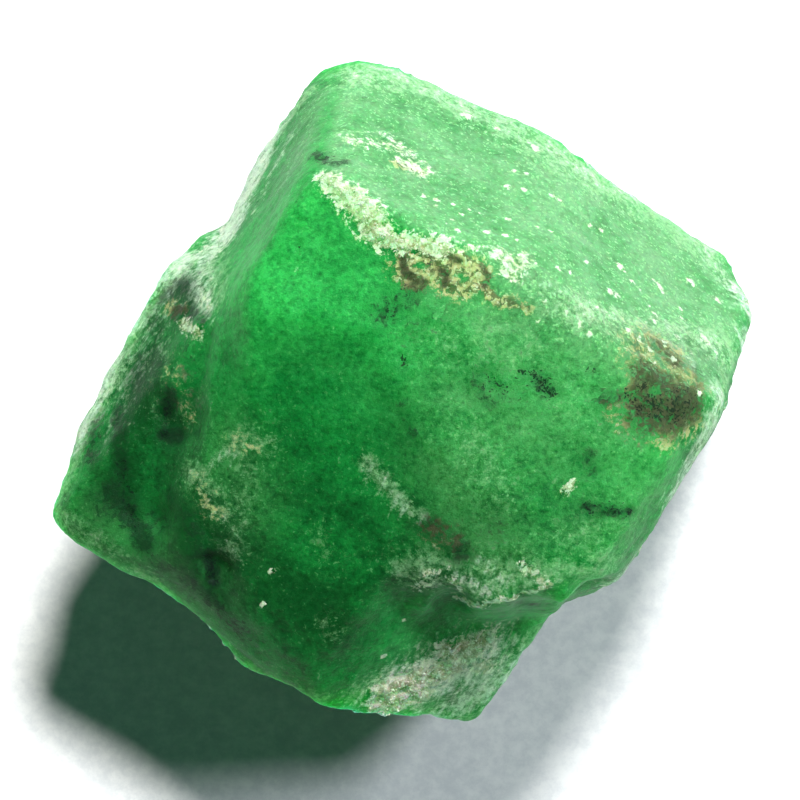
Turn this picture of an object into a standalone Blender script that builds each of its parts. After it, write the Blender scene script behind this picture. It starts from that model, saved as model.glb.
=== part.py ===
"""A raw emerald crystal: a stub of a six-sided prism with a second, parallel crystal grown on its left.

The crystal lies on a broken underside. Its basal face looks away to the back right, three worn faces look
up, the second crystal stands out to the left, and the front right corner is broken off below a ledge.

Lengths are in millimetres until the last step, which turns the finished mesh into metres.
X runs right, Y back and Z up, and the origin is the middle of the bounding box, at the resting face.
"""

from math import cos, exp, radians, sin

import bmesh
import bpy
from mathutils import Matrix, Vector, noise

METRES_PER_MM = 0.001
ROUGH_BLOCK = 40.0  # side of the cube that every block is cut from
WEAR_ALLOWANCE = 0.10  # the faces start this far out, because wear takes the edges between them down

# Each face: azimuth of its normal (0 is right, 90 is back), rise of its normal above level, a point on it.
MAIN_CRYSTAL = {
    "basal": (64.2, 28.2, (-0.23, 2.63, 8.0)),
    "basal_end": (47, 25, (4.84, 2.36, 2.6)),
    "basal_right": (33, 21, (6.30, 1.80, 4.4)),
    "peak": (80, 16, (-0.40, 5.46, 3.6)),
    "peak_left": (118, 12, (-1.28, 5.34, 4.0)),
    "top": (-45, 80, (-0.23, 2.63, 8.0)),
    "top_middle": (161, 83, (-0.23, 2.63, 7.85)),
    "top_left": (150, 66, (-0.23, 2.63, 8.0)),
    "top_front": (236, 64, (-0.27, 0.08, 7.60)),
    "left_upper": (148.5, 14, (-2.35, 3.44, 4.9)),
    "left_lower": (176, 32, (-3.30, -0.50, 6.5)),
    "front_chamfer": (233, 35, (-3.05, -4.10, 4.6)),
    "under_front": (235, -30, (-3.05, -4.10, 4.6)),
    "front_end": (268, 3, (0.0, -5.44, 3.4)),
    "under_end": (262, -50, (0.0, -5.44, 1.7)),
    "right_chamfer": (-31, 22, (5.12, -0.10, 5.9)),
    "right": (-31, -5, (5.12, -0.10, 5.8)),
    "front_right": (-42, 4, (4.27, -2.19, 5.4)),
    "under_right": (-18, -50, (4.60, -1.00, 2.4)),
    "under_back": (70, -44, (2.35, 4.17, 2.9)),
    "under_left": (160, -22, (-3.30, 2.40, 4.4)),
    "resting": (0, -90, (0.0, 0.0, -0.8)),
}
SIDE_CRYSTAL = {
    "top": (205, 72, (-3.40, 0.50, 5.9)),
    "left": (153, 35, (-4.90, 0.54, 4.4)),
    "left_front": (163, 25, (-5.85, -1.27, 4.3)),
    "shoulder": (114, 25, (-3.98, 2.02, 4.6)),
    "back": (84, 10, (-3.15, 2.48, 4.6)),
    "tip": (211, 12, (-5.92, -2.27, 4.3)),
    "front_chamfer": (240, 35, (-4.80, -2.95, 4.5)),
    "under_front": (240, -30, (-4.80, -2.95, 4.5)),
    "under_left": (155, -34, (-4.90, 0.54, 4.2)),
    "under": (170, -68, (-3.0, 0.0, 1.5)),
    "inner": (-20, 0, (-1.0, 0.0, 4.0)),
}

# The broken corner, as the blocks that came away: all but the notch came off the sloping facet.
FACET = (118, -43, (-0.02, -2.71, 6.4))
BROKEN_OFF = {
    "under_ledge": {"facet": FACET, "ledge": (91, -8, (1.50, -3.58, 6.0))},
    "beside_ledge": {
        "facet": FACET,
        "back": (80, -30, (0.0, -3.12, 6.4)),
        "right": (10, -40, (0.28, -3.30, 6.1)),
    },
    "arch_left": {
        "facet": FACET,
        "back": (90, -10, (0.62, -3.24, 6.0)),
        "left": (155, -6, (0.33, -3.42, 6.0)),
        "right": (25, -6, (0.92, -3.42, 6.0)),
    },
    "arch_right": {
        "facet": FACET,
        "back": (88, -10, (2.00, -3.42, 6.0)),
        "left": (150, -6, (1.62, -3.52, 6.0)),
        "right": (30, -6, (2.36, -3.52, 6.0)),
    },
    "notch": {
        "under_ledge": (100, -6, (3.30, -3.12, 5.5)),
        "beside_facet": (150, 4, (1.93, -4.33, 4.5)),
    },
}

# Shell-shaped scoops left by flakes: centre, half-axes, turn about Z.
SCOOPS = {
    "under_left": ((-5.6, 0.2, 1.2), (2.6, 2.6, 2.4), 20),
    "under_left_low": ((-4.6, -3.2, 0.2), (2.2, 1.8, 2.0), -10),
    "under_back": ((2.6, 6.0, 0.2), (3.0, 2.6, 2.6), -25),
    "under_right": ((6.3, -1.0, 1.6), (2.0, 2.2, 2.2), 10),
    "under_front": ((-2.2, -4.4, 0.6), (3.4, 1.5, 2.3), -38),
    "under_front_right": ((3.1, -5.2, 0.9), (1.6, 1.9, 2.1), 0),
}

# Lumps and pits: centre, radius, height along the surface normal (negative sinks in).
LUMPS = {
    "crust_left": ((-1.05, 3.55, 7.3), 0.30, 0.07),
    "crust_middle": ((-0.35, 2.85, 7.9), 0.35, 0.09),
    "crust_right": ((0.75, 2.45, 7.8), 0.40, 0.07),
    "hollow_under_crust": ((0.45, 2.00, 7.9), 0.42, -0.13),
    "hollow_right_of_it": ((1.15, 1.85, 7.9), 0.38, -0.10),
    "rust_hollow": ((4.20, 0.05, 7.2), 0.62, -0.17),
    "rust_hollow_low": ((4.55, -0.45, 7.0), 0.40, -0.10),
    "right_tip": ((5.80, 1.20, 4.9), 0.60, 0.34),
    "notch_corner": ((2.72, -3.40, 5.9), 0.50, -0.26),
    "white_patch": ((1.00, -4.55, 4.15), 0.55, 0.10),
    "white_patch_low": ((0.15, -5.00, 4.15), 0.45, 0.10),
    "lobe_swell": ((-4.00, 0.20, 5.9), 0.45, 0.10),
    "lobe_grain": ((-3.55, 1.25, 6.0), 0.25, 0.09),
    "lobe_hollow": ((-3.85, -0.55, 5.9), 0.40, -0.12),
    "lobe_pit": ((-4.30, -2.10, 5.4), 0.40, -0.12),
    "seam_pit": ((-3.20, -2.95, 5.7), 0.24, -0.16),
    "edge_step_back": ((4.65, 2.85, 3.4), 0.28, -0.14),
    "edge_step_right": ((5.35, 0.10, 5.8), 0.30, -0.12),
    "edge_step_low": ((4.62, -1.45, 5.8), 0.26, -0.12),
    "edge_step_end": ((3.72, -3.05, 5.8), 0.24, -0.10),
}

# Grooves: points along it, width, depth.
GROOVES = {
    "seam": (((-3.35, 1.40, 6.4), (-3.55, -0.20, 6.2), (-3.50, -1.60, 5.9), (-3.15, -3.40, 5.5)), 0.22, 0.12),
    "lobe": (((-4.10, 1.60, 5.5), (-4.75, 0.30, 5.3), (-5.25, -0.80, 5.1)), 0.14, 0.07),
}

# Unevenness: size of the swells, height on the crystal faces, height on the broken underside.
SWELLS = ((3.0, 0.08, 0.80), (1.1, 0.05, 0.34), (0.45, 0.02, 0.08))
BROKEN_TILT = (0.45, 0.05)  # how far a surface faces down where it is fully broken, and where it isn't at all
SEED_SHIFT = Vector((11.3, 4.7, 8.1))

WEAR_GRID, WEAR_ROUNDS = 0.16, 9
FINISH_GRID, FINISH_ROUNDS = 0.11, 2
TRIANGLES = 9400

EMERALD_GREEN = (0.03, 0.36, 0.10, 1.0)


def clear_scene():
    for thing in list(bpy.data.objects):
        bpy.data.objects.remove(thing)


def direction(azimuth, rise):
    level = cos(radians(rise))
    return Vector((level * cos(radians(azimuth)), level * sin(radians(azimuth)), sin(radians(rise))))


def mesh_object(name, bm):
    mesh = bpy.data.meshes.new(name)
    bm.to_mesh(mesh)
    bm.free()
    thing = bpy.data.objects.new(name, mesh)
    bpy.context.scene.collection.objects.link(thing)
    return thing


def cut_away(bm, point, normal):
    """Removes what lies on the normal's side of the plane and closes the cut with one face."""
    everything = bm.verts[:] + bm.edges[:] + bm.faces[:]
    cut = bmesh.ops.bisect_plane(bm, geom=everything, plane_co=point, plane_no=normal, clear_outer=True)
    rim = [part for part in cut["geom_cut"] if isinstance(part, bmesh.types.BMEdge)]
    bmesh.ops.contextual_create(bm, geom=rim)


def block(name, faces, allowance=0.0):
    """The convex block that lies inside all the faces."""
    bm = bmesh.new()
    bmesh.ops.create_cube(bm, size=ROUGH_BLOCK)
    for azimuth, rise, point in faces.values():
        normal = direction(azimuth, rise)
        cut_away(bm, Vector(point) + normal * allowance, normal)
    bmesh.ops.recalc_face_normals(bm, faces=bm.faces[:])
    return mesh_object(name, bm)


def scoop(name, centre, half_axes, turn):
    bm = bmesh.new()
    spin = Matrix.Rotation(radians(turn), 4, "Z")
    place = Matrix.Translation(centre) @ spin @ Matrix.Diagonal((*half_axes, 1.0))
    bmesh.ops.create_icosphere(bm, subdivisions=4, radius=1.0, matrix=place)
    return mesh_object(name, bm)


def hide(thing):
    thing.hide_render = True
    thing.display_type = "WIRE"
    return thing


def add_modifier(thing, kind, **settings):
    modifier = thing.modifiers.new(kind.title(), kind)
    for name, value in settings.items():
        setattr(modifier, name, value)


def regrid(thing, grid, rounds):
    """An even mesh, with its edges worn down."""
    add_modifier(thing, "REMESH", mode="VOXEL", voxel_size=grid)
    add_modifier(thing, "SMOOTH", factor=0.5, iterations=rounds)


def apply_modifiers(thing):
    bpy.context.view_layer.update()
    graph = bpy.context.evaluated_depsgraph_get()
    mesh = bpy.data.meshes.new_from_object(thing.evaluated_get(graph))
    thing.modifiers.clear()
    thing.data = mesh


def bump(distance, radius):
    return exp(-((distance / radius) ** 2))


def distance_to_path(point, path):
    nearest = 1e9
    for start, end in zip(path, path[1:]):
        start, along = Vector(start), Vector(end) - Vector(start)
        share = (point - start).dot(along) / along.length_squared
        foot = start + along * min(max(share, 0.0), 1.0)
        nearest = min(nearest, (point - foot).length)
    return nearest


def unevenness(point, normal):
    broken_at, whole_at = BROKEN_TILT
    broken = min(max((-normal.z - whole_at) / (broken_at - whole_at), 0.0), 1.0)
    height = 0.0
    for size, on_faces, underneath in SWELLS:
        wave = noise.noise((point + SEED_SHIFT) / size)
        height += wave * (on_faces + (underneath - on_faces) * broken)
    for centre, radius, rise in LUMPS.values():
        height += rise * bump((point - Vector(centre)).length, radius)
    for path, width, depth in GROOVES.values():
        height -= depth * bump(distance_to_path(point, path), width)
    return height


def roughen(thing):
    bm = bmesh.new()
    bm.from_mesh(thing.data)
    bm.normal_update()
    moved = [vert.co + vert.normal * unevenness(vert.co, vert.normal) for vert in bm.verts]
    for vert, place in zip(bm.verts, moved):
        vert.co = place
    bm.to_mesh(thing.data)
    bm.free()


def finish(thing):
    """Cuts the flat face the crystal lies on, puts the origin in place and turns millimetres into metres."""
    bm = bmesh.new()
    bm.from_mesh(thing.data)
    cut_away(bm, Vector((0, 0, 0)), Vector((0, 0, -1)))
    xs = [vert.co.x for vert in bm.verts]
    ys = [vert.co.y for vert in bm.verts]
    middle = Vector(((min(xs) + max(xs)) / 2, (min(ys) + max(ys)) / 2, 0.0))
    bm.transform(Matrix.Scale(METRES_PER_MM, 4) @ Matrix.Translation(-middle))
    bm.to_mesh(thing.data)
    bm.free()


def emerald_material():
    material = bpy.data.materials.new("emerald")
    material.use_nodes = True
    shader = material.node_tree.nodes["Principled BSDF"]
    shader.inputs["Base Color"].default_value = EMERALD_GREEN
    shader.inputs["Roughness"].default_value = 0.45
    shader.inputs["IOR"].default_value = 1.58
    return material


def build():
    clear_scene()
    crystal = block("emerald_crystal", MAIN_CRYSTAL, WEAR_ALLOWANCE)
    side = hide(block("side_crystal", SIDE_CRYSTAL, WEAR_ALLOWANCE))
    add_modifier(crystal, "BOOLEAN", operation="UNION", object=side)
    regrid(crystal, WEAR_GRID, WEAR_ROUNDS)
    cutters = [hide(block(name, faces)) for name, faces in BROKEN_OFF.items()]
    cutters += [hide(scoop(name, *shape)) for name, shape in SCOOPS.items()]
    for cutter in cutters:
        add_modifier(crystal, "BOOLEAN", operation="DIFFERENCE", object=cutter)
    regrid(crystal, FINISH_GRID, FINISH_ROUNDS)
    apply_modifiers(crystal)
    roughen(crystal)
    add_modifier(crystal, "DECIMATE", ratio=TRIANGLES / (2 * len(crystal.data.polygons)))
    apply_modifiers(crystal)
    finish(crystal)
    for helper in [side, *cutters]:
        bpy.data.objects.remove(helper)
    crystal.data.materials.append(emerald_material())


build()
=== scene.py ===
from math import cos, radians, sin

import bmesh
import bpy
import numpy as np
from mathutils import Matrix, Vector, noise
from mathutils.bvhtree import BVHTree


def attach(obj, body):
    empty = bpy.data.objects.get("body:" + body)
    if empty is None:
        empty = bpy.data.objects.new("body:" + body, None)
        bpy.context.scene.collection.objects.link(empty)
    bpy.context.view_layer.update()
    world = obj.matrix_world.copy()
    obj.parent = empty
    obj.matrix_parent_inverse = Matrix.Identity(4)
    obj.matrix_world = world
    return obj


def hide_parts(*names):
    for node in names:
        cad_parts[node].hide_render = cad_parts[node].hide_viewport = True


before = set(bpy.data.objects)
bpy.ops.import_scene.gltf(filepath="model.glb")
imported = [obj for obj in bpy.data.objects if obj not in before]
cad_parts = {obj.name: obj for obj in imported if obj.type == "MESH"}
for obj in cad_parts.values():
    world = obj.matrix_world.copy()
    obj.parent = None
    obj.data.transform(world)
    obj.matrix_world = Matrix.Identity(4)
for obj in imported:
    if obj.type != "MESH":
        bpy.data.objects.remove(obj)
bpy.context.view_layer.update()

mm = 0.001
frameWidth = 800  # pixels across the picture, for every place given in pixels below
cAxis = Vector((0.37, 0.81, 0.45)).normalized()  # the way the crystal grew; its grooves run along it


camera = {
    "lens": 300.0,
    "sensor": 36.0,
    "pixelsPerMm": 60.0,
    "sharpHeight": 5.0,  # mm above the floor where that scale holds
    "lookAt": (-0.07, -0.15),  # mm, straight below the lens
    "nearest": 0.005,  # m
    "farthest": 20.0,
}


def addCamera():
    data = bpy.data.cameras.new("camera")
    data.lens = camera["lens"]
    data.sensor_width = camera["sensor"]
    data.clip_start = camera["nearest"]
    data.clip_end = camera["farthest"]
    eye = bpy.data.objects.new("camera", data)
    bpy.context.scene.collection.objects.link(eye)
    widthMm = frameWidth / camera["pixelsPerMm"]
    height = camera["sharpHeight"] + widthMm * camera["lens"] / camera["sensor"]
    eye.location = Vector((*camera["lookAt"], height)) * mm
    bpy.context.scene.camera = eye
    return eye.location / mm


eyeMm = addCamera()
print("camera", tuple(round(v, 2) for v in eyeMm), "mm")


# sizes and heights in mm
crystal = {
    "voxel": 0.07,
    "softening": 2,
    "wear": 140,  # rounds of averaging where an edge is worn
    # size of the roughness, and its height
    "roughness": ((0.60, 0.016), (0.26, 0.014), (0.13, 0.012)),
    "grooveSpacing": 0.13,
    "grooveDepth": 0.030,
    "pitDepth": 0.05,
    "pitBase": 0.6,
    "crustHeight": 0.050,
    "crustBase": 0.3,
    "crustLumps": 1.8,
    "rustShare": 0.8,  # of the pale crust's height
    "speckShare": 0.9,
    "lumpSize": 0.16,
    "chipSize": 0.5,
    "chipDepth": 0.10,
    # how far a point stands out from its surroundings to count fully as an edge
    "edgeHeight": 0.05,
    "edgeRounds": 10,
    # the pale end face, its paleness partly painted sheen where it is turned to the lamps: the way it
    # looks, and how nearly a face has to look that way
    "basalNormal": (0.38, 0.80, 0.46),
    "basalFrom": 0.68,
    "basalFade": 0.20,
    "basalRounds": 20,
    # a side is hidden from above when its normal's upward part falls below this
    "hiddenFrom": 0.25,
    "hiddenFade": 0.4,
    # no crust below this height, and no relief where the stone rests
    "floorClear": 0.15,
    "floorFade": 0.2,
    "restHeight": 0.02,
    "mergeDistance": 1e-7,  # m
    "fullMask": 1.2,  # over 1, so that a strong stroke has no gaps
    "strokeStep": 3,  # pixels between a stroke's points
    "speckWidth": 0.95,
}

# size in mm of the chance patterns on the hidden sides, and where in the noise each is taken
hiddenNoises = {
    "drift": (1.7, 31.7),
    "crust": (1.6, 57.1),
    "crustFine": (0.4, 19.3),
    "rust": (1.3, 83.9),
    "rustFine": (0.4, 64.7),
    "shade": (0.9, 12.4),
    "dots": (0.6, 45.3),
    "pale": (1.1, 91.2),
}

# where in the noise the relief is taken
reliefShifts = {"grooves": 5.5, "lumps": 71.3, "chips": 22.2, "perSize": 40}

# What lies on the surface. Each stroke: half-width, strength, then the pixels that it passes through.
strokes = {
    # pale crust
    "crust": (
        (14, 1.1, (324, 170), (334, 184), (348, 196)),
        (17, 1.1, (350, 196), (366, 208), (376, 224)),
        (14, 1.1, (368, 224), (386, 238), (404, 240)),
        (12, 1.1, (404, 238), (424, 242), (444, 243)),
        (8, 0.55, (444, 242), (470, 244), (496, 250)),
        (18, 0.5, (350, 138), (372, 142), (396, 144)),
        (16, 0.6, (392, 142), (404, 154), (420, 168)),
        (9, 0.8, (400, 162), (412, 170), (422, 176)),
        (13, 0.75, (500, 252), (514, 262), (528, 256)),
        (8, 0.8, (506, 266), (516, 274)),
        (20, 1.1, (388, 692), (404, 686), (424, 676)),
        (16, 1.0, (378, 702), (398, 704), (420, 694)),
        (20, 1.0, (424, 680), (446, 668), (468, 654)),
        (16, 1.0, (446, 650), (464, 648), (486, 640)),
        (12, 0.8, (476, 664), (490, 668)),
        (6, 1.2, (370, 708), (386, 714)),
        (6, 1.0, (458, 598), (478, 606), (500, 603)),
        (6, 0.9, (500, 602), (520, 596), (552, 588)),
        (8, 0.6, (418, 588), (430, 576), (448, 574), (462, 592)),
        (6, 0.8, (522, 562), (530, 574), (542, 582)),
        (8, 1.0, (182, 322), (190, 328), (198, 332)),
        (6, 0.8, (202, 300), (208, 306)),
        (9, 0.9, (748, 304), (758, 314)),
        (5, 1.0, (563, 492), (571, 484)),
    ),
    # brown and ochre crust
    "rust": (
        (16, 1.1, (408, 256), (404, 270), (416, 278)),
        (13, 1.1, (424, 254), (436, 258), (432, 272)),
        (15, 1.2, (450, 258), (466, 262), (480, 270)),
        (12, 1.1, (446, 282), (462, 290), (474, 286)),
        (9, 1.1, (486, 290), (498, 300), (512, 302)),
        (7, 1.0, (516, 304), (530, 308)),
        (9, 0.9, (396, 164), (402, 168)),
        (8, 1.1, (410, 166), (419, 172)),
        (22, 0.9, (652, 340), (672, 352), (680, 384)),
        (24, 0.95, (646, 402), (668, 410), (690, 402)),
        (30, 0.8, (640, 346), (650, 376), (640, 404)),
        (20, 0.9, (694, 380), (690, 424), (668, 432)),
        (13, 0.75, (432, 528), (452, 540)),
        (14, 0.35, (226, 440), (250, 446)),
        (16, 0.4, (196, 486), (214, 510)),
        (14, 0.35, (346, 206), (366, 222)),
        (10, 0.7, (168, 306), (184, 312)),
        (16, 0.25, (150, 392), (172, 366), (192, 420)),
    ),
    # dark stains and inclusions
    "shade": (
        (18, 0.75, (416, 290), (400, 304), (384, 316)),
        (12, 0.5, (384, 300), (378, 318)),
        (24, 0.45, (432, 306), (410, 326)),
        (11, 0.9, (312, 150), (330, 154), (344, 158)),
        (6, 1.0, (402, 252), (405, 272), (424, 283)),
        (6, 0.9, (430, 249), (448, 252), (462, 258)),
        (6, 0.9, (440, 268), (446, 274), (444, 284)),
        (6, 0.8, (484, 262), (490, 276), (484, 286)),
        (28, 0.28, (480, 384), (510, 386), (544, 388)),
        (8, 0.6, (474, 378), (480, 392), (490, 404)),
        (10, 0.8, (536, 380), (550, 390)),
        (10, 0.8, (588, 456), (592, 470)),
        (9, 0.9, (586, 507), (602, 511), (630, 513)),
        (16, 0.7, (606, 398), (634, 394)),
        (36, 1.0, (646, 406), (668, 412), (690, 400)),
        (22, 0.7, (656, 346), (678, 362)),
        (26, 0.9, (646, 372), (664, 384), (686, 390)),
        (20, 0.6, (700, 372), (704, 410)),
        (20, 0.8, (150, 304), (166, 292), (186, 284)),
        (13, 0.9, (176, 312), (200, 316)),
        (20, 0.5, (186, 344), (186, 372), (192, 392)),
        (12, 1.1, (170, 394), (166, 412)),
        (9, 1.3, (164, 434), (180, 436)),
        (14, 0.8, (118, 412), (120, 440), (122, 470)),
        (16, 0.8, (96, 424), (92, 458)),
        (15, 1.1, (112, 490), (128, 516), (146, 544)),
        (20, 0.6, (100, 508), (132, 510), (160, 520)),
        (18, 0.7, (186, 520), (196, 546), (200, 566)),
        (9, 1.3, (208, 554), (214, 584)),
        (18, 0.8, (196, 580), (214, 600), (240, 630)),
        (24, 0.5, (136, 376), (140, 414)),
        (8, 0.5, (402, 404), (412, 434)),
        (18, 0.9, (430, 526), (454, 540), (460, 550)),
        (9, 0.5, (358, 98), (368, 100)),
        (9, 0.7, (512, 602), (536, 604)),
        (20, 0.35, (470, 520), (500, 530)),
    ),
    # black points in the stone
    "dots": (
        (10, 0.9, (536, 376), (550, 392)),
        (5, 1.1, (520, 373), (528, 372)),
        (4, 1.1, (589, 370), (593, 370)),
        (14, 0.45, (410, 286), (396, 304), (386, 314)),
        (10, 0.6, (586, 508), (606, 510), (630, 512)),
        (9, 0.7, (628, 396), (640, 406)),
        (20, 0.8, (652, 402), (672, 410), (686, 400)),
        (8, 0.8, (644, 384), (640, 410)),
        (4, 1.0, (402, 357), (404, 364)),
        (3, 1.1, (299, 249), (300, 250)),
        (5, 0.5, (448, 354), (458, 358)),
        (9, 0.6, (316, 150), (330, 148)),
        (9, 0.7, (168, 398), (164, 436)),
        (7, 1.1, (209, 558), (213, 582)),
        (9, 0.65, (120, 462), (136, 530)),
        (7, 0.8, (412, 168), (419, 171)),
        (14, 0.5, (480, 376), (520, 396)),
        (8, 0.6, (430, 262), (446, 272)),
    ),
    # scuffed, whitish skin; along the top-right rim and the left edges also painted light: a glow
    # through the thin rim and a reflection of the bright floor
    "frostAndEdgeLight": (
        (22, 0.75, (230, 444), (250, 436), (268, 446)),
        (22, 0.75, (192, 476), (212, 494), (224, 514)),
        (26, 0.6, (246, 470), (236, 510), (232, 550)),
        (13, 1.0, (366, 462), (384, 480), (398, 496), (422, 516)),
        (34, 0.8, (410, 572), (434, 568), (474, 574), (530, 574)),
        # painted glow through the thin top-right rim, over real frost
        (44, 0.8, (350, 70), (400, 78), (450, 100), (500, 126), (560, 160), (610, 188), (660, 214),
         (700, 246)),
        (20, 0.5, (146, 396), (170, 420), (200, 392)),
        (26, 0.75, (540, 578), (580, 574), (616, 560)),
        (30, 0.5, (566, 540), (620, 520)),
        (20, 1.0, (744, 350), (722, 402), (704, 440), (684, 482), (664, 520), (640, 556)),
        # left edges: frost and a painted reflection of the bright floor
        (26, 1.1, (176, 268), (144, 310), (122, 356), (100, 400)),
        (22, 1.0, (98, 400), (76, 448), (60, 492)),
        (18, 1.2, (306, 92), (272, 146), (248, 196), (226, 236)),
        (30, 0.9, (190, 266), (212, 262), (220, 292)),
        (22, 0.7, (58, 518), (110, 552), (160, 586), (200, 626)),
        (20, 0.5, (214, 642), (262, 672), (318, 700)),
        (14, 0.6, (324, 622), (336, 634)),
        (18, 0.5, (318, 534), (330, 556)),
        (30, 0.9, (560, 300), (620, 326), (680, 338), (732, 340)),
        (30, 0.6, (464, 430), (486, 462), (500, 490)),
        (22, 0.8, (548, 622), (524, 650), (508, 676)),
        (20, 0.5, (150, 366), (160, 350), (200, 400)),
        (26, 0.6, (430, 712), (484, 712)),
        (30, 0.8, (368, 690), (420, 660), (480, 650)),
        (20, 0.8, (758, 300), (752, 322)),
        (26, 0.45, (560, 400), (600, 420), (640, 440)),
        (34, 0.5, (430, 340), (480, 350), (530, 350)),
        (20, 0.3, (172, 360), (200, 380), (190, 420)),
    ),
    # lighter green: painted light on the upper front, turned to the lamps, and in the shaded notch
    # under the ledge; also a lighter strip along the lower-left edge
    "light": (
        (80, 0.7, (270, 240), (330, 290), (380, 330)),
        (36, 0.6, (244, 330), (244, 376)),
        (60, 0.8, (430, 310), (520, 330), (620, 370)),
        (50, 0.4, (600, 460), (660, 480)),
        (26, 1.0, (560, 588), (600, 575)),
        (40, 0.6, (460, 440), (490, 470)),
        # painted light in the shaded notch under the ledge
        (44, 1.0, (470, 622), (520, 618)),
        (40, 0.8, (410, 610), (400, 640)),
        (26, 0.6, (100, 552), (150, 588), (220, 640)),
    ),
    # deeper green: dark spots on the lobe's top, and painted shade over the lobe and the lower left,
    # which face away from the lamps
    "deep": (
        (20, 0.9, (160, 292), (178, 286), (190, 300)),
        (16, 0.8, (148, 312), (160, 332), (158, 350)),
        (22, 0.5, (62, 504), (74, 528), (96, 544)),
        (46, 1.0, (154, 366), (130, 440), (110, 500)),
        (50, 1.0, (170, 440), (180, 500), (190, 560)),
        (70, 1.0, (230, 560), (300, 600), (340, 620)),
        (90, 0.6, (270, 470), (340, 520), (420, 560)),
        (60, 0.4, (340, 430), (440, 470), (540, 520)),
        (26, 0.6, (214, 560), (250, 610)),
        (30, 0.7, (262, 674), (320, 700), (360, 704)),
    ),
    # cloudy white inside the stone
    "milk": (
        (70, 0.8, (500, 330), (560, 350), (640, 340)),
        (40, 0.9, (560, 320), (600, 350), (640, 366)),
        (60, 0.6, (470, 400), (540, 430), (620, 440)),
        (50, 0.7, (460, 470), (480, 520), (500, 560)),
        (50, 0.6, (600, 530), (640, 490)),
        (40, 0.4, (220, 450), (240, 500)),
        (40, 0.4, (200, 600), (160, 570), (90, 530)),
        (40, 0.5, (430, 700), (470, 690)),
    ),
    # pale green, as on the end face, and like it partly painted sheen
    "mint": (
        (34, 0.7, (314, 98), (308, 122), (302, 146), (294, 166)),
        (30, 0.7, (500, 278), (530, 298), (570, 322), (620, 350), (650, 360)),
        (24, 0.4, (440, 292), (480, 306), (540, 330)),
    ),
    # painted shade: less bright all through, most on the worn ridge turned to the lamps and over the
    # lobe, turned away from them
    "paintedShade": (
        (44, 0.9, (540, 304), (600, 336), (660, 350), (704, 356)),
        (44, 0.3, (300, 190), (312, 236)),
        (40, 0.4, (380, 600), (370, 640), (350, 690)),
        (30, 0.8, (62, 500), (72, 526), (96, 544)),
        (50, 0.7, (178, 300), (160, 350), (140, 410), (120, 470)),
        (50, 0.35, (440, 400), (500, 470), (540, 540)),
    ),
    # fibres of white along the crystal's edges; along the top-right rim and the left edges also painted
    # light: a glow through the thin rim and a reflection of the bright floor
    "pale": (
        # left edges: fibres and a painted reflection of the bright floor
        (38, 1.1, (294, 98), (268, 144), (246, 192), (226, 236)),
        (16, 0.5, (290, 136), (272, 172), (252, 216)),
        (34, 0.95, (186, 262), (152, 296), (124, 336), (104, 380)),
        (26, 0.95, (104, 384), (84, 424), (66, 462), (54, 498)),
        (40, 0.42, (184, 286), (156, 326), (132, 376), (112, 424)),
        # painted glow through the thin top-right rim, over real fibres
        (34, 0.50, (350, 70), (400, 76), (450, 98), (500, 122), (560, 156), (610, 184), (660, 210),
         (700, 242), (744, 300)),
        (20, 0.8, (206, 256), (196, 280), (204, 310)),
        (24, 0.9, (736, 290), (756, 316), (744, 346)),
        (30, 0.8, (722, 400), (708, 430), (690, 464), (674, 492)),
        (30, 0.9, (660, 520), (642, 548), (624, 574)),
        (10, 0.6, (430, 586), (446, 572), (470, 580), (490, 596)),
        (12, 0.5, (480, 560), (500, 580), (530, 590), (560, 588)),
        (12, 0.5, (366, 464), (388, 488), (420, 518)),
        (42, 1.0, (394, 694), (440, 676), (488, 652)),
        (40, 0.8, (450, 704), (482, 692), (500, 662)),
        (24, 0.8, (476, 640), (500, 646)),
        (16, 0.35, (66, 524), (120, 562), (190, 620)),
        (16, 0.32, (206, 470), (234, 446), (262, 438)),
        (16, 0.32, (200, 486), (220, 520), (228, 550)),
        (26, 0.5, (560, 296), (640, 326), (720, 344)),
        (16, 0.7, (650, 338), (672, 346), (690, 360)),
    ),
    # where the edge is worn round
    "worn": (
        (60, 1.1, (540, 268), (600, 304), (660, 334), (716, 346)),
        (30, 0.9, (400, 246), (440, 262), (480, 262), (520, 268)),
        (34, 0.9, (332, 80), (331, 120), (328, 160)),
        (34, 1.0, (222, 292), (224, 360), (228, 430), (232, 500)),
        (24, 0.8, (560, 600), (590, 592)),
    ),
    # fine grooves along the crystal's growth
    "grooves": (
        (24, 1.0, (304, 96), (272, 146), (248, 196), (226, 236), (212, 290)),
        (34, 1.0, (150, 300), (120, 360), (90, 424), (64, 490)),
        (50, 0.7, (390, 580), (370, 640), (350, 680)),
        (26, 0.5, (730, 370), (700, 440), (660, 520)),
    ),
}

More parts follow.
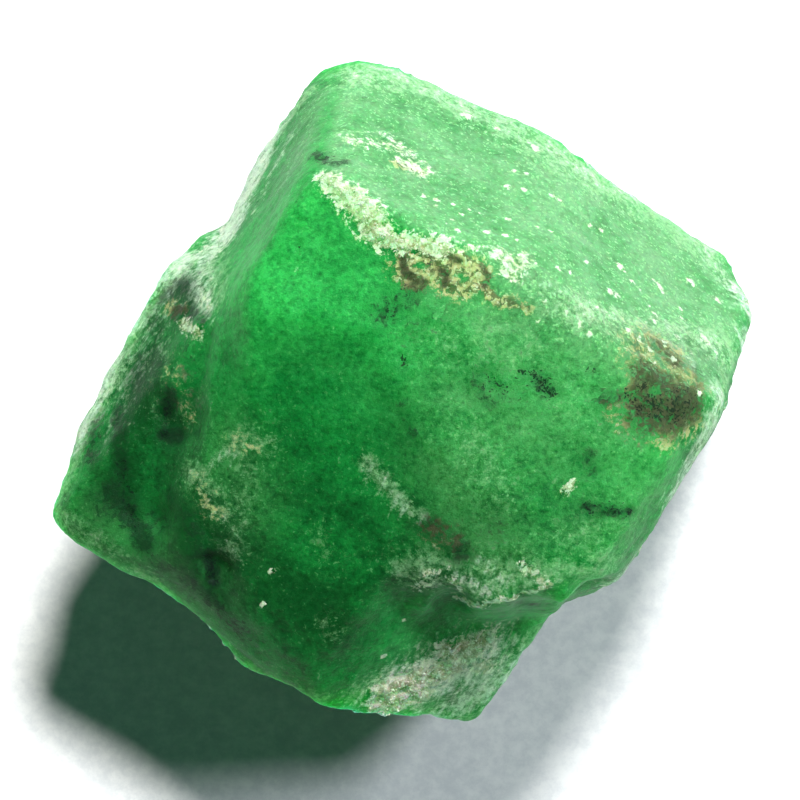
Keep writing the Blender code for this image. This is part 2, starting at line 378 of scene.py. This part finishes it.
# single specks, most on the pale end face: pixel across, pixel down, half-width
specks = (
    (467, 116, 6), (497, 128, 4), (535, 148, 5), (515, 171, 3), (526, 174, 3), (508, 187, 4),
    (524, 190, 3), (552, 197, 4), (560, 200, 3), (509, 219, 3), (537, 226, 2), (550, 230, 3),
    (590, 226, 3), (601, 230, 3), (620, 266, 4), (624, 272, 3), (611, 292, 5), (617, 294, 4),
    (656, 284, 5), (662, 290, 4), (690, 282, 5), (718, 300, 5), (704, 338, 6), (708, 342, 4),
    (654, 314, 3), (650, 306, 2), (654, 322, 3), (680, 308, 3), (436, 205, 3), (444, 213, 2),
    (461, 214, 3), (448, 224, 2), (458, 230, 3), (476, 224, 2), (486, 232, 3), (424, 196, 2),
    (494, 222, 2), (505, 236, 3), (516, 240, 2), (482, 200, 2), (682, 318, 3), (650, 348, 3),
    (664, 343, 3), (640, 338, 3), (672, 358, 4), (655, 363, 2), (628, 330, 3), (612, 322, 2),
    (570, 310, 2), (584, 322, 3), (548, 300, 2), (540, 318, 2), (690, 352, 3), (720, 350, 3),
    (677, 338, 3), (599, 309, 3), (591, 334, 4), (560, 266, 3), (570, 270, 3), (586, 262, 3),
    (632, 282, 3), (640, 290, 3), (470, 208, 2), (452, 205, 2), (480, 214, 2), (437, 200, 3),
    (452, 220, 2), (272, 572, 3), (262, 604, 3), (384, 657, 3), (569, 484, 3), (563, 492, 3),
    (404, 620, 2), (700, 392, 3),
)


def copyOfSolid(name):
    # in millimetres, so that the voxel size and every height below are in millimetres too
    bm = bmesh.new()
    bm.from_mesh(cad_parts[name].data)
    bmesh.ops.remove_doubles(bm, verts=bm.verts, dist=crystal["mergeDistance"])
    bmesh.ops.recalc_face_normals(bm, faces=bm.faces)
    bm.transform(Matrix.Scale(1 / mm, 4))
    mesh = bpy.data.meshes.new("crystalSurface")
    bm.to_mesh(mesh)
    bm.free()
    piece = bpy.data.objects.new("crystalSurface", mesh)
    bpy.context.scene.collection.objects.link(piece)
    return piece


def plainMesh(piece):
    graph = bpy.context.evaluated_depsgraph_get()
    mesh = bpy.data.meshes.new_from_object(piece.evaluated_get(graph))
    piece.modifiers.clear()
    piece.data = mesh
    return mesh


def fineGrid(piece):
    remesh = piece.modifiers.new("evenGrid", "REMESH")
    remesh.mode = "VOXEL"
    remesh.voxel_size = crystal["voxel"]
    smooth = piece.modifiers.new("soften", "SMOOTH")
    smooth.iterations = crystal["softening"]
    bpy.context.view_layer.update()
    return plainMesh(piece)


def readPoints(mesh):
    points = np.empty(len(mesh.vertices) * 3, np.float32)
    mesh.vertices.foreach_get("co", points)
    return points.reshape(-1, 3).astype(float)


def readNormals(mesh):
    normals = np.empty(len(mesh.vertices) * 3, np.float32)
    mesh.vertices.foreach_get("normal", normals)
    return normals.reshape(-1, 3).astype(float)


def onSurface(tree, across, down):
    # the point that shows at this pixel, or None
    perMm = camera["pixelsPerMm"]
    target = Vector((
        eyeMm.x + (across - frameWidth / 2) / perMm,
        eyeMm.y - (down - frameWidth / 2) / perMm,
        camera["sharpHeight"],
    ))
    return tree.ray_cast(eyeMm, (target - eyeMm).normalized())[0]


def strokePoints(tree, pixels):
    found = []
    for (x0, y0), (x1, y1) in zip(pixels, pixels[1:]):
        steps = max(int(Vector((x1 - x0, y1 - y0)).length / crystal["strokeStep"]), 1)
        for step in range(steps + 1):
            share = step / steps
            found.append(onSurface(tree, x0 + (x1 - x0) * share, y0 + (y1 - y0) * share))
    return np.array([tuple(hit) for hit in found if hit is not None])


def softDisc(points, centres, halfWidth):
    # 1 at the centres, fading out round them
    batch = 16  # centres at a time, to keep the table small
    nearest = np.full(len(points), np.inf)
    for start in range(0, len(centres), batch):
        gap = points[:, None, :] - centres[None, start:start + batch, :]
        nearest = np.minimum(nearest, (gap ** 2).sum(axis=2).min(axis=1))
    return np.exp(-nearest / halfWidth ** 2)


def paintStrokes(tree, points, dabs):
    mask = np.zeros(len(points))
    for halfWidth, strength, *pixels in dabs:
        centres = strokePoints(tree, pixels)
        if len(centres):
            spot = strength * softDisc(points, centres, halfWidth / camera["pixelsPerMm"])
            mask = np.maximum(mask, spot)
    return mask


def noiseField(points, size, shift):
    moved = points / size + shift
    return np.array([noise.noise(Vector(p)) for p in moved])


def smoothed(mesh, values, rounds):
    # each point's value becomes the average of its neighbours', again and again
    edges = np.empty(len(mesh.edges) * 2, np.int32)
    mesh.edges.foreach_get("vertices", edges)
    a, b = edges.reshape(-1, 2).T
    count = np.bincount(a, minlength=len(values)) + np.bincount(b, minlength=len(values))
    average = values.copy()
    for _ in range(rounds):
        total = np.zeros_like(average)
        for axis in range(3):
            total[:, axis] = (np.bincount(a, average[b, axis], len(values))
                              + np.bincount(b, average[a, axis], len(values)))
        average = total / count[:, None]
    return average


def convexity(mesh, points, normals):
    # how far each point stands out from what is round it
    return ((points - smoothed(mesh, points, crystal["edgeRounds"])) * normals).sum(axis=1)


def storeMask(mesh, name, values):
    layer = mesh.attributes.new(name, "FLOAT", "POINT")
    layer.data.foreach_set("value", np.clip(values, 0, crystal["fullMask"]).astype(np.float32))


def paintMasks(tree, points):
    masks = {name: paintStrokes(tree, points, dabs) for name, dabs in strokes.items()}
    masks["speck"] = np.zeros(len(points))
    for across, down, halfWidth in specks:
        hit = onSurface(tree, across, down)
        if hit is not None:
            width = halfWidth * crystal["speckWidth"] / camera["pixelsPerMm"]
            spot = softDisc(points, np.array([tuple(hit)]), width)
            masks["speck"] = np.maximum(masks["speck"], spot)
    print("masks painted on", len(points), "points")
    return masks


def wearEdges(mesh, points, worn):
    inwards = smoothed(mesh, points, crystal["wear"]) - points
    points += inwards * np.minimum(worn, 1)[:, None]
    mesh.vertices.foreach_set("co", points.astype(np.float32).ravel())
    mesh.update()


def dressHiddenSides(masks, points, normals):
    # the sides that cannot be seen from above get the same crust, frost and inclusions by chance
    hidden = np.clip((crystal["hiddenFrom"] - normals[:, 2]) / crystal["hiddenFade"], 0, 1)
    noises = {name: noiseField(points, size, shift) for name, (size, shift) in hiddenNoises.items()}
    # how strong each is, once its noise passes the level taken away from it
    chances = {
        "crust": 3 * (noises["crust"] + 0.7 * noises["crustFine"] - 0.42),
        "rust": 3 * (noises["rust"] + 0.6 * noises["rustFine"] - 0.38),
        "shade": 3 * (noises["shade"] - 0.12),
        "dots": 5 * (noises["dots"] - 0.30),
        "frostAndEdgeLight": np.minimum(0.35 + 1.6 * noises["drift"], 0.9),
        "pale": 0.9 * noises["pale"] + 0.15,
        "deep": 0.5 + noises["drift"],
        "grooves": 0.7 - 0.7 * np.abs(normals @ np.array(cAxis)),
    }
    for name, chance in chances.items():
        masks[name] = np.maximum(masks[name], hidden * np.clip(chance, 0, 1))


def addFaceMasks(mesh, masks, points, normals):
    masks["edge"] = np.clip(convexity(mesh, points, normals) / crystal["edgeHeight"], 0, 1)
    # the pale end face, partly painted sheen
    facing = smoothed(mesh, normals, crystal["basalRounds"]) @ crystal["basalNormal"]
    basal = np.clip((facing - crystal["basalFrom"]) / crystal["basalFade"], 0, 1)
    masks["basal"] = np.maximum(basal, masks["mint"])
    # none of it where the stone meets the floor
    clear = np.clip((points[:, 2] - crystal["floorClear"]) / crystal["floorFade"], 0, 1)
    for name in ("crust", "rust", "speck"):
        masks[name] *= clear


def reliefHeight(masks, points):
    height = np.zeros(len(points))
    for size, tall in crystal["roughness"]:
        height += tall * noiseField(points, size, size * reliefShifts["perSize"])
    growth = np.array(cAxis)
    across = points - np.outer(points @ growth, growth)  # the same all along a groove
    grooves = noiseField(across, crystal["grooveSpacing"], reliefShifts["grooves"])
    height += crystal["grooveDepth"] * masks["grooves"] * grooves
    lumps = noiseField(points, crystal["lumpSize"], reliefShifts["lumps"])
    crusty = np.maximum(masks["crust"], crystal["rustShare"] * masks["rust"])
    crusty = np.maximum(crusty, crystal["speckShare"] * masks["speck"])
    height += crystal["crustHeight"] * crusty * (crystal["crustBase"] + crystal["crustLumps"] * lumps)
    height -= crystal["pitDepth"] * masks["dots"] * (crystal["pitBase"] + lumps)
    chips = np.clip(noiseField(points, crystal["chipSize"], reliefShifts["chips"]), 0, 1)
    height -= crystal["chipDepth"] * masks["edge"] * chips
    return height


def makeCrystal():
    piece = copyOfSolid("emerald_crystal")
    mesh = fineGrid(piece)
    points = readPoints(mesh)
    tree = BVHTree.FromObject(piece, bpy.context.evaluated_depsgraph_get())
    masks = paintMasks(tree, points)
    wearEdges(mesh, points, masks["worn"])
    normals = readNormals(mesh)
    dressHiddenSides(masks, points, normals)
    addFaceMasks(mesh, masks, points, normals)

    placed = points + normals * reliefHeight(masks, points)[:, None]
    resting = points[:, 2] < crystal["restHeight"]
    placed[:, 2] = np.where(resting, points[:, 2], np.maximum(placed[:, 2], 0.0))
    mesh.vertices.foreach_set("co", (placed * mm).astype(np.float32).ravel())
    mesh.update()
    for name, values in masks.items():
        storeMask(mesh, name, values)
    mesh.shade_smooth()
    print("crystal surface", len(mesh.polygons), "faces")
    return piece


class Wire:
    # a number from a node, which takes part in Python sums
    def __init__(self, board, socket):
        self.board, self.socket = board, socket

    def maths(self, operation, first, second):
        return self.board.node("ShaderNodeMath", {"operation": operation}, {0: first, 1: second})

    def __add__(self, other):
        return self.maths("ADD", self, other)

    def __radd__(self, other):
        return self.maths("ADD", other, self)

    def __sub__(self, other):
        return self.maths("SUBTRACT", self, other)

    def __rsub__(self, other):
        return self.maths("SUBTRACT", other, self)

    def __mul__(self, other):
        return self.maths("MULTIPLY", self, other)

    def __rmul__(self, other):
        return self.maths("MULTIPLY", other, self)


class Board:
    def __init__(self, tree):
        self.tree = tree
        tree.nodes.clear()

    def node(self, kind, settings=None, sockets=None, output=0):
        made = self.tree.nodes.new(kind)
        for name, value in (settings or {}).items():
            setattr(made, name, value)
        for key, value in (sockets or {}).items():
            if isinstance(value, Wire):
                self.tree.links.new(value.socket, made.inputs[key])
            else:
                made.inputs[key].default_value = value
        return Wire(self, made.outputs[output])

    def mask(self, name):
        return self.node("ShaderNodeAttribute", {"attribute_name": name}, output=2)

    def noise(self, place, scale, detail, roughness):
        return self.node("ShaderNodeTexNoise", {}, {
            "Vector": place, "Scale": scale, "Detail": detail, "Roughness": roughness,
        })

    def step(self, value, low, high):
        # 0 below low, 1 above high
        return self.node("ShaderNodeMapRange", {"interpolation_type": "SMOOTHSTEP"}, {
            "Value": value, "From Min": low, "From Max": high, "To Min": 0.0, "To Max": 1.0,
        })

    def blend(self, share, first, second, how="MIX"):
        settings = {"data_type": "RGBA", "blend_type": how, "clamp_factor": True}
        return self.node("ShaderNodeMix", settings, {0: share, 6: first, 7: second}, output=2)

    def finish(self, surface, volume=None):
        made = self.tree.nodes.new("ShaderNodeOutputMaterial")
        self.tree.links.new(surface.socket, made.inputs["Surface"])
        if volume is not None:
            self.tree.links.new(volume.socket, made.inputs["Volume"])


def newMaterial(name):
    material = bpy.data.materials.new(name)
    material.use_nodes = True
    return material, Board(material.node_tree)


emerald = {
    "deep": (0.0005, 0.066, 0.009, 1),
    "body": (0.002, 0.190, 0.026, 1),
    "bright": (0.026, 0.410, 0.075, 1),
    "mint": (0.200, 0.480, 0.200, 1),
    # pale end-face green, partly painted sheen
    "basal": (0.126, 0.310, 0.137, 1),
    "milk": (0.100, 0.310, 0.105, 1),
    "haze": (0.210, 0.400, 0.200, 1),
    "fibre": (0.560, 0.700, 0.540, 1),
    "cream": (0.330, 0.420, 0.230, 1),
    "white": (0.520, 0.650, 0.460, 1),
    "tan": (0.350, 0.380, 0.160, 1),
    "brown": (0.090, 0.100, 0.038, 1),
    "umber": (0.020, 0.022, 0.010, 1),
    "shade": (0.004, 0.025, 0.008, 1),
    "black": (0.003, 0.008, 0.006, 1),
    "scatterMm": (0.20, 2.6, 0.70),
    "subsurface": 0.8,
    "transmission": 0.11,
    "refraction": 1.57,
    "shine": 0.07,
    "shineTint": (0.45, 1.0, 0.60, 1),
    "absorbed": (0.04, 0.82, 0.22, 1),
    "absorptionPerMm": 0.7,
    "tone": 0.64,  # between the deep and the bright green
    "roughness": 0.50,
    "bumpStrength": 0.7,
    "bumpMm": 0.03,
    # noises: how many to a millimetre, detail and roughness
    "noises": {
        "mottle": (0.8, 5.0, 0.66),
        "cloud": (2.6, 4.0, 0.62),
        "grit": (9.0, 4.0, 0.80),
        "thread": (11.0, 3.0, 0.65),
    },
    "flakesPerMm": 12.0,
    "sparksPerMm": 30.0,
    "bendsPerMm": 4.0,
    "bendMm": 0.22,
    "threadSquash": 0.14,  # along the threads, so they come out long
    "crackWidth": 0.012,
    # the value at which each pattern starts, and the one at which it is full
    "ranges": {
        "body": (0.0, 0.6),
        "bright": (0.45, 1.20),
        "veil": (0.45, 1.35),
        "fibre": (0.32, 1.20),
        "dust": (0.46, 0.52),
        "shade": (0.25, 1.05),
        "rust": (0.34, 0.85),
        "rustZone": (0.05, 0.25),
        "earthTan": (-0.25, 0.30),
        "earthCream": (0.30, 0.50),
        "earthUmber": (0.3, 0.7),
        "dots": (0.82, 1.0),
        "crust": (0.32, 0.75),
        "crustZone": (0.05, 0.25),
        "speck": (0.22, 0.50),
        "speckZone": (0.05, 0.2),
        "crustWhite": (-0.25, 0.40),
        "crustTan": (0.15, 0.60),
    },
    # how much of what lies under it each pattern hides
    "cover": {
        "veil": 0.80,
        "fibre": 0.85,
        "shade": 0.9,
        "earthUmber": 0.9,
        "rust": 0.85,
        "dots": 0.9,
        "crust": 0.92,
        "speck": 0.9,
        "crustTan": 0.8,
        "shell": 0.94,
    },
}


class Mineral:
    # the stone's patterns, each about zero
    def __init__(self, board):
        self.board = board
        metres = board.node("ShaderNodeTexCoord", output=3)
        self.place = board.node("ShaderNodeMapping", {}, {"Vector": metres, "Scale": (1 / mm,) * 3})
        drift = board.node("ShaderNodeTexNoise", {}, {
            "Vector": self.place, "Scale": emerald["bendsPerMm"], "Detail": 2.0,
        }, output=1)
        drift = board.node("ShaderNodeVectorMath", {"operation": "SUBTRACT"}, {0: drift, 1: (0.5,) * 3})
        self.bent = board.node("ShaderNodeVectorMath", {"operation": "MULTIPLY_ADD"}, {
            0: drift, 1: (emerald["bendMm"],) * 3, 2: self.place,
        })
        turn = cAxis.to_track_quat("Z", "Y").inverted().to_euler()
        along = board.node("ShaderNodeMapping", {}, {"Vector": self.place, "Rotation": tuple(turn)})
        squash = (1.0, 1.0, emerald["threadSquash"])
        along = board.node("ShaderNodeMapping", {}, {"Vector": along, "Scale": squash})
        self.mottle = self.pattern("mottle", self.place)
        self.cloud = self.pattern("cloud", self.bent)
        self.grit = self.pattern("grit", self.place)
        self.thread = self.pattern("thread", along)
        self.flake = self.cells(emerald["flakesPerMm"])
        self.spark = self.cells(emerald["sparksPerMm"])

    def pattern(self, name, place):
        return self.board.noise(place, *emerald["noises"][name]) - 0.5

    def cells(self, perMm):
        # one random number for each small crystal
        sockets = {"Vector": self.bent, "Scale": perMm}
        colour = self.board.node("ShaderNodeTexVoronoi", {}, sockets, output=1)
        return self.board.node("ShaderNodeSeparateColor", {}, {"Color": colour}) - 0.5

    def hairline(self):
        # 1 on the fine cracks
        width = self.board.node("ShaderNodeMath", {"operation": "ABSOLUTE"}, {0: self.cloud})
        return 1.0 - self.board.step(width, 0.0, emerald["crackWidth"])


def emeraldMaterial():
    material, board = newMaterial("emerald")
    mask, blend, cover = board.mask, board.blend, emerald["cover"]
    mineral = Mineral(board)
    mottle, cloud, grit = mineral.mottle, mineral.cloud, mineral.grit
    thread, flake, spark = mineral.thread, mineral.flake, mineral.spark
    # deep holds painted shade as well as deeper green
    deep, frostAndEdgeLight, basal = mask("deep"), mask("frostAndEdgeLight"), mask("basal")
    ragged = grit * 2.4 + cloud * 1.2 + flake * 0.45

    def reach(name, value):
        return board.step(value, *emerald["ranges"][name])

    # the green of the stone, lifted by painted light and lowered by painted shade
    tone = emerald["tone"] + mask("light") * 0.34 - deep * 0.56
    tone = tone + mottle * 0.9 + cloud * 0.6 + grit * 0.6
    colour = blend(reach("body", tone), emerald["deep"], emerald["body"])
    colour = blend(reach("bright", tone), colour, emerald["bright"])
    milk = (0.02 + mask("milk") * 0.55) * (1.0 + cloud * 2.0 + grit * 2.5 + mottle * 2.0)
    colour = blend(milk, colour, emerald["milk"])
    # the end face paler, partly painted sheen
    colour = blend(basal * (0.70 + mottle * 1.6 + cloud), colour, emerald["basal"])

    # scuffs, fibres, fine cracks and dust; the frost and the fibres also carry painted light along the
    # rims
    soft = grit * 1.8 + cloud * 1.4 + flake * 0.2
    veil = reach("veil", frostAndEdgeLight + mask("edge") * 0.3 + basal * 0.1 + soft)
    colour = blend(veil * cover["veil"], colour, emerald["haze"])
    # the white fibres carry painted light along the rims as well
    fibre = reach("fibre", mask("pale") + thread * 1.4 + grit * 1.5 + cloud)
    colour = blend(fibre * cover["fibre"], colour, emerald["fibre"])
    cracks = mineral.hairline() * (0.02 + frostAndEdgeLight * 0.25 + basal * 0.1)
    colour = blend(cracks, colour, emerald["haze"])
    dust = reach("dust", spark + basal * 0.06 + frostAndEdgeLight * 0.06 + grit * 0.4)
    colour = blend(dust * (frostAndEdgeLight * 0.4 + basal * 0.7 + 0.12), colour, emerald["mint"])

    # dark stains
    shade = reach("shade", mask("shade") + ragged)
    colour = blend(shade * cover["shade"], colour, emerald["shade"])

    # brown crust
    rust = reach("rust", mask("rust") + ragged) * reach("rustZone", mask("rust"))
    earth = blend(reach("earthTan", flake + grit * 1.6), emerald["brown"], emerald["tan"])
    earth = blend(reach("earthCream", spark + grit), earth, emerald["cream"])
    stained = shade * reach("earthUmber", mask("shade")) * cover["earthUmber"]
    earth = blend(stained, earth, emerald["umber"])
    colour = blend(rust * cover["rust"], colour, earth)

    # black points
    dots = reach("dots", mask("dots") + spark * 1.1 + grit * 1.6)
    colour = blend(dots * cover["dots"], colour, emerald["black"])

    # pale crust and specks
    crust = reach("crust", mask("crust") + ragged) * reach("crustZone", mask("crust"))
    speck = reach("speck", mask("speck") + flake * 0.5 + grit) * reach("speckZone", mask("speck"))
    shell = board.node("ShaderNodeMath", {"operation": "MAXIMUM"}, {
        0: crust * cover["crust"], 1: speck * cover["speck"],
    })
    pale = blend(reach("crustWhite", flake + grit * 1.5), emerald["cream"], emerald["white"])
    tanned = reach("crustTan", cloud * -2.5 - grit * 2.0 - flake * 0.5)
    pale = blend(tanned * cover["crustTan"], pale, emerald["tan"])
    pale = blend(speck, pale, emerald["white"])
    colour = blend(shell * cover["shell"], colour, pale)

    # the painted shade mask takes brightness off the colour; the rest is grain
    grain = 1.0 - mask("paintedShade") * 0.26 + grit * 1.6 + cloud * 0.2 + flake * 0.12 + spark * 0.22
    colour = blend(1.0, colour, grain, "MULTIPLY")

    roughness = emerald["roughness"] + veil * 0.12 + grit * 0.4 + rust * 0.15 + shell * 0.15
    crusty = mask("crust") + mask("rust") * 0.4
    relief = grit * 1.3 + thread * mask("grooves") * 0.9 + crusty * (grit * 2.0 + 0.4)
    bump = board.node("ShaderNodeBump", {}, {
        "Height": relief, "Strength": emerald["bumpStrength"], "Distance": emerald["bumpMm"] * mm,
    })

    surface = board.node("ShaderNodeBsdfPrincipled", {"subsurface_method": "RANDOM_WALK"}, {
        "Base Color": colour,
        "Roughness": roughness,
        "Normal": bump,
        "IOR": emerald["refraction"],
        "Specular IOR Level": emerald["shine"],
        "Specular Tint": emerald["shineTint"],
        "Subsurface Weight": emerald["subsurface"],
        "Subsurface Radius": emerald["scatterMm"],
        "Subsurface Scale": mm,
        "Transmission Weight": emerald["transmission"],
    })
    volume = board.node("ShaderNodeVolumeAbsorption", {}, {
        "Color": emerald["absorbed"], "Density": emerald["absorptionPerMm"] / mm,
    })
    board.finish(surface, volume)
    return material


grains = {
    "perSquareMm": 220.0,
    "smallest": 0.014,  # mm, half a grain's width
    "largest": 0.036,
    "narrowness": 0.8,
    "flatness": 0.45,
    "turns": 6.28,  # radians, any way round
    "seed": 7,
    # share of the brown crust and of the specks in the grains' cover, and the cover at which
    # grains start and are thickest
    "rustShare": 0.35,
    "speckShare": 0.8,
    "coverRange": (0.35, 0.95),
    "fine": (30.0, 3.0, 0.6),  # noise: how many to a millimetre, detail and roughness
    "whiteRange": (0.15, 0.85),
    "ochreRange": (0.30, 0.80),
    "earthRange": (0.15, 0.55),
    "cream": (0.360, 0.460, 0.260, 1),
    "white": (0.540, 0.680, 0.480, 1),
    "ochre": (0.320, 0.340, 0.150, 1),
    "umber": (0.070, 0.070, 0.030, 1),
    "roughness": 0.45,
    "shine": 0.35,
    "subsurface": 0.4,
    "scatter": (0.5, 0.8, 0.5),  # red, green and blue, times the next value
    "scatterMm": 0.2,
}


def grainMaterial():
    material, board = newMaterial("crustGrain")
    tint = board.mask("tint")
    metres = board.node("ShaderNodeTexCoord", output=3)
    perMm, detail, roughness = grains["fine"]
    fine = board.noise(metres, perMm / mm, detail, roughness) - 0.5
    whiter = board.step(tint + fine, *grains["whiteRange"])
    pale = board.blend(whiter, grains["cream"], grains["white"])
    yellower = board.step(tint + fine, *grains["ochreRange"])
    earth = board.blend(yellower, grains["umber"], grains["ochre"])
    earthy = board.step(board.mask("rust") - board.mask("crust") * 0.6, *grains["earthRange"])
    board.finish(board.node("ShaderNodeBsdfPrincipled", {"subsurface_method": "RANDOM_WALK"}, {
        "Base Color": board.blend(earthy, pale, earth),
        "Roughness": grains["roughness"] + fine * 0.5,
        "Specular IOR Level": grains["shine"],
        "Subsurface Weight": grains["subsurface"],
        "Subsurface Radius": grains["scatter"],
        "Subsurface Scale": grains["scatterMm"] * mm,
    }))
    return material


def grainTree():
    # small flattened crystals, thickest where the crust is
    tree = bpy.data.node_groups.new("grainScatter", "GeometryNodeTree")
    face = tree.interface
    face.new_socket("Geometry", in_out="INPUT", socket_type="NodeSocketGeometry")
    for name, kind in (("Per Square Metre", "Float"), ("Smallest", "Float"), ("Largest", "Float"),
                       ("Narrowness", "Float"), ("Flatness", "Float"), ("Seed", "Int"),
                       ("Material", "Material")):
        face.new_socket(name, in_out="INPUT", socket_type="NodeSocket" + kind)
    face.new_socket("Geometry", in_out="OUTPUT", socket_type="NodeSocketGeometry")
    board = Board(tree)
    entry = tree.nodes.new("NodeGroupInput")
    given = {socket.name: Wire(board, socket) for socket in entry.outputs if socket.name}

    def painted(name):
        settings = {"data_type": "FLOAT"}
        return board.node("GeometryNodeInputNamedAttribute", settings, {"Name": name}, "Attribute")

    def chance(seed):
        # from 0 to 1
        sockets = {2: 0.0, 3: 1.0, "Seed": seed}
        return board.node("FunctionNodeRandomValue", {"data_type": "FLOAT"}, sockets, output=1)

    cover = painted("crust") * painted("crust")
    cover = cover + painted("rust") * grains["rustShare"] * (1.0 - painted("shade"))
    cover = cover + painted("speck") * grains["speckShare"]
    points = board.node("GeometryNodeDistributePointsOnFaces", {}, {
        "Mesh": given["Geometry"],
        "Density": given["Per Square Metre"] * board.step(cover, *grains["coverRange"]),
        "Seed": given["Seed"],
    })
    grain = board.node("GeometryNodeMeshIcoSphere", {}, {"Radius": 1.0, "Subdivisions": 1})
    width = chance(given["Seed"] + 1.0)
    width = given["Smallest"] + (given["Largest"] - given["Smallest"]) * width * width
    shape = board.node("ShaderNodeCombineXYZ", {}, {
        0: width, 1: width * given["Narrowness"], 2: width * given["Flatness"],
    })
    turn = board.node("FunctionNodeRandomValue", {"data_type": "FLOAT_VECTOR"}, {
        0: (0.0,) * 3, 1: (grains["turns"],) * 3, "Seed": given["Seed"],
    })
    placed = board.node("GeometryNodeInstanceOnPoints", {}, {
        "Points": points, "Instance": grain, "Rotation": turn, "Scale": shape,
    })
    settings = {"data_type": "FLOAT", "domain": "INSTANCE"}
    tinted = board.node("GeometryNodeStoreNamedAttribute", settings, {
        "Geometry": placed, "Name": "tint", "Value": chance(given["Seed"] + 2.0),
    })
    solid = board.node("GeometryNodeRealizeInstances", {}, {"Geometry": tinted})
    coated = board.node("GeometryNodeSetMaterial", {}, {
        "Geometry": solid, "Material": given["Material"],
    })
    leave = tree.nodes.new("NodeGroupOutput")
    tree.links.new(coated.socket, leave.inputs[0])
    return tree


def makeGrains(surface):
    piece = bpy.data.objects.new("crustGrains", surface.data.copy())
    bpy.context.scene.collection.objects.link(piece)
    scatter = piece.modifiers.new("grains", "NODES")
    scatter.node_group = grainTree()
    values = {
        "Per Square Metre": grains["perSquareMm"] / mm ** 2,
        "Smallest": grains["smallest"] * mm,
        "Largest": grains["largest"] * mm,
        "Narrowness": grains["narrowness"],
        "Flatness": grains["flatness"],
        "Seed": grains["seed"],
        "Material": grainMaterial(),
    }
    for item in scatter.node_group.interface.items_tree:
        if item.in_out == "INPUT" and item.name in values:
            scatter[item.identifier] = values[item.name]
    mesh = plainMesh(piece)
    print("crust grains", len(mesh.polygons), "faces")
    return piece


paper = {
    # noises: how many to a millimetre, detail and roughness
    "fibres": (3.2, 4.0, 0.75),
    "clouds": (0.4, 2.0, 0.5),
    "cloudShare": 0.4,
    "range": (0.5, 0.9),
    "grey": (0.74, 0.75, 0.77, 1),
    "white": (0.90, 0.90, 0.90, 1),
    "roughness": 0.9,
}


def paperMaterial():
    material, board = newMaterial("palePaper")
    metres = board.node("ShaderNodeTexCoord", output=3)

    def mottle(name):
        perMm, detail, roughness = paper[name]
        return board.noise(metres, perMm / mm, detail, roughness)

    fleck = board.step(mottle("fibres") + mottle("clouds") * paper["cloudShare"], *paper["range"])
    tint = board.blend(fleck, paper["grey"], paper["white"])
    board.finish(board.node("ShaderNodeBsdfPrincipled", {}, {
        "Base Color": tint, "Roughness": paper["roughness"],
    }))
    return material


studio = {
    "floorRadius": 3.0,
    "floorCorners": 96,
    # a faint green fill, for the light that comes through the stone
    "worldColour": (0.35, 1.0, 0.70, 1),
    "worldStrength": 0.072,
    # azimuth that the light comes from (0 is right, 90 is back), its height in degrees, width,
    # watts and colour
    "lamps": {
        "rightLamp": (30, 50, 0.30, 6.3, (0.89, 0.92, 1.0)),
        "backLamp": (76, 53, 0.22, 19.2, (1.0, 0.99, 0.97)),
    },
    "lampDistance": 1.0,
}


def addFloor():
    bm = bmesh.new()
    bmesh.ops.create_circle(
        bm, cap_ends=True, radius=studio["floorRadius"], segments=studio["floorCorners"])
    mesh = bpy.data.meshes.new("floor")
    bm.to_mesh(mesh)
    bm.free()
    floor = bpy.data.objects.new("floor", mesh)
    bpy.context.scene.collection.objects.link(floor)
    mesh.materials.append(paperMaterial())


def addLamps():
    for name, (azimuth, rise, width, watts, tint) in studio["lamps"].items():
        data = bpy.data.lights.new(name, "AREA")
        data.shape = "DISK"
        data.size = width
        data.energy = watts
        data.color = tint
        lamp = bpy.data.objects.new(name, data)
        level, turn = cos(radians(rise)), radians(azimuth)
        towards = Vector((level * cos(turn), level * sin(turn), sin(radians(rise))))
        lamp.location = towards * studio["lampDistance"]
        lamp.rotation_mode = "QUATERNION"
        lamp.rotation_quaternion = towards.to_track_quat("Z", "Y")
        bpy.context.scene.collection.objects.link(lamp)


def addWorld():
    world = bpy.data.worlds.new("studio")
    bpy.context.scene.world = world
    world.use_nodes = True
    background = world.node_tree.nodes["Background"]
    background.inputs["Color"].default_value = studio["worldColour"]
    background.inputs["Strength"].default_value = studio["worldStrength"]
    bpy.context.scene.view_settings.view_transform = "Standard"


surface = makeCrystal()
surface.data.materials.clear()
surface.data.materials.append(emeraldMaterial())
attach(surface, "root")
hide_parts("emerald_crystal")

crust = makeGrains(surface)
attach(crust, "root")

addFloor()
addLamps()
addWorld()
print("floor and light placed")
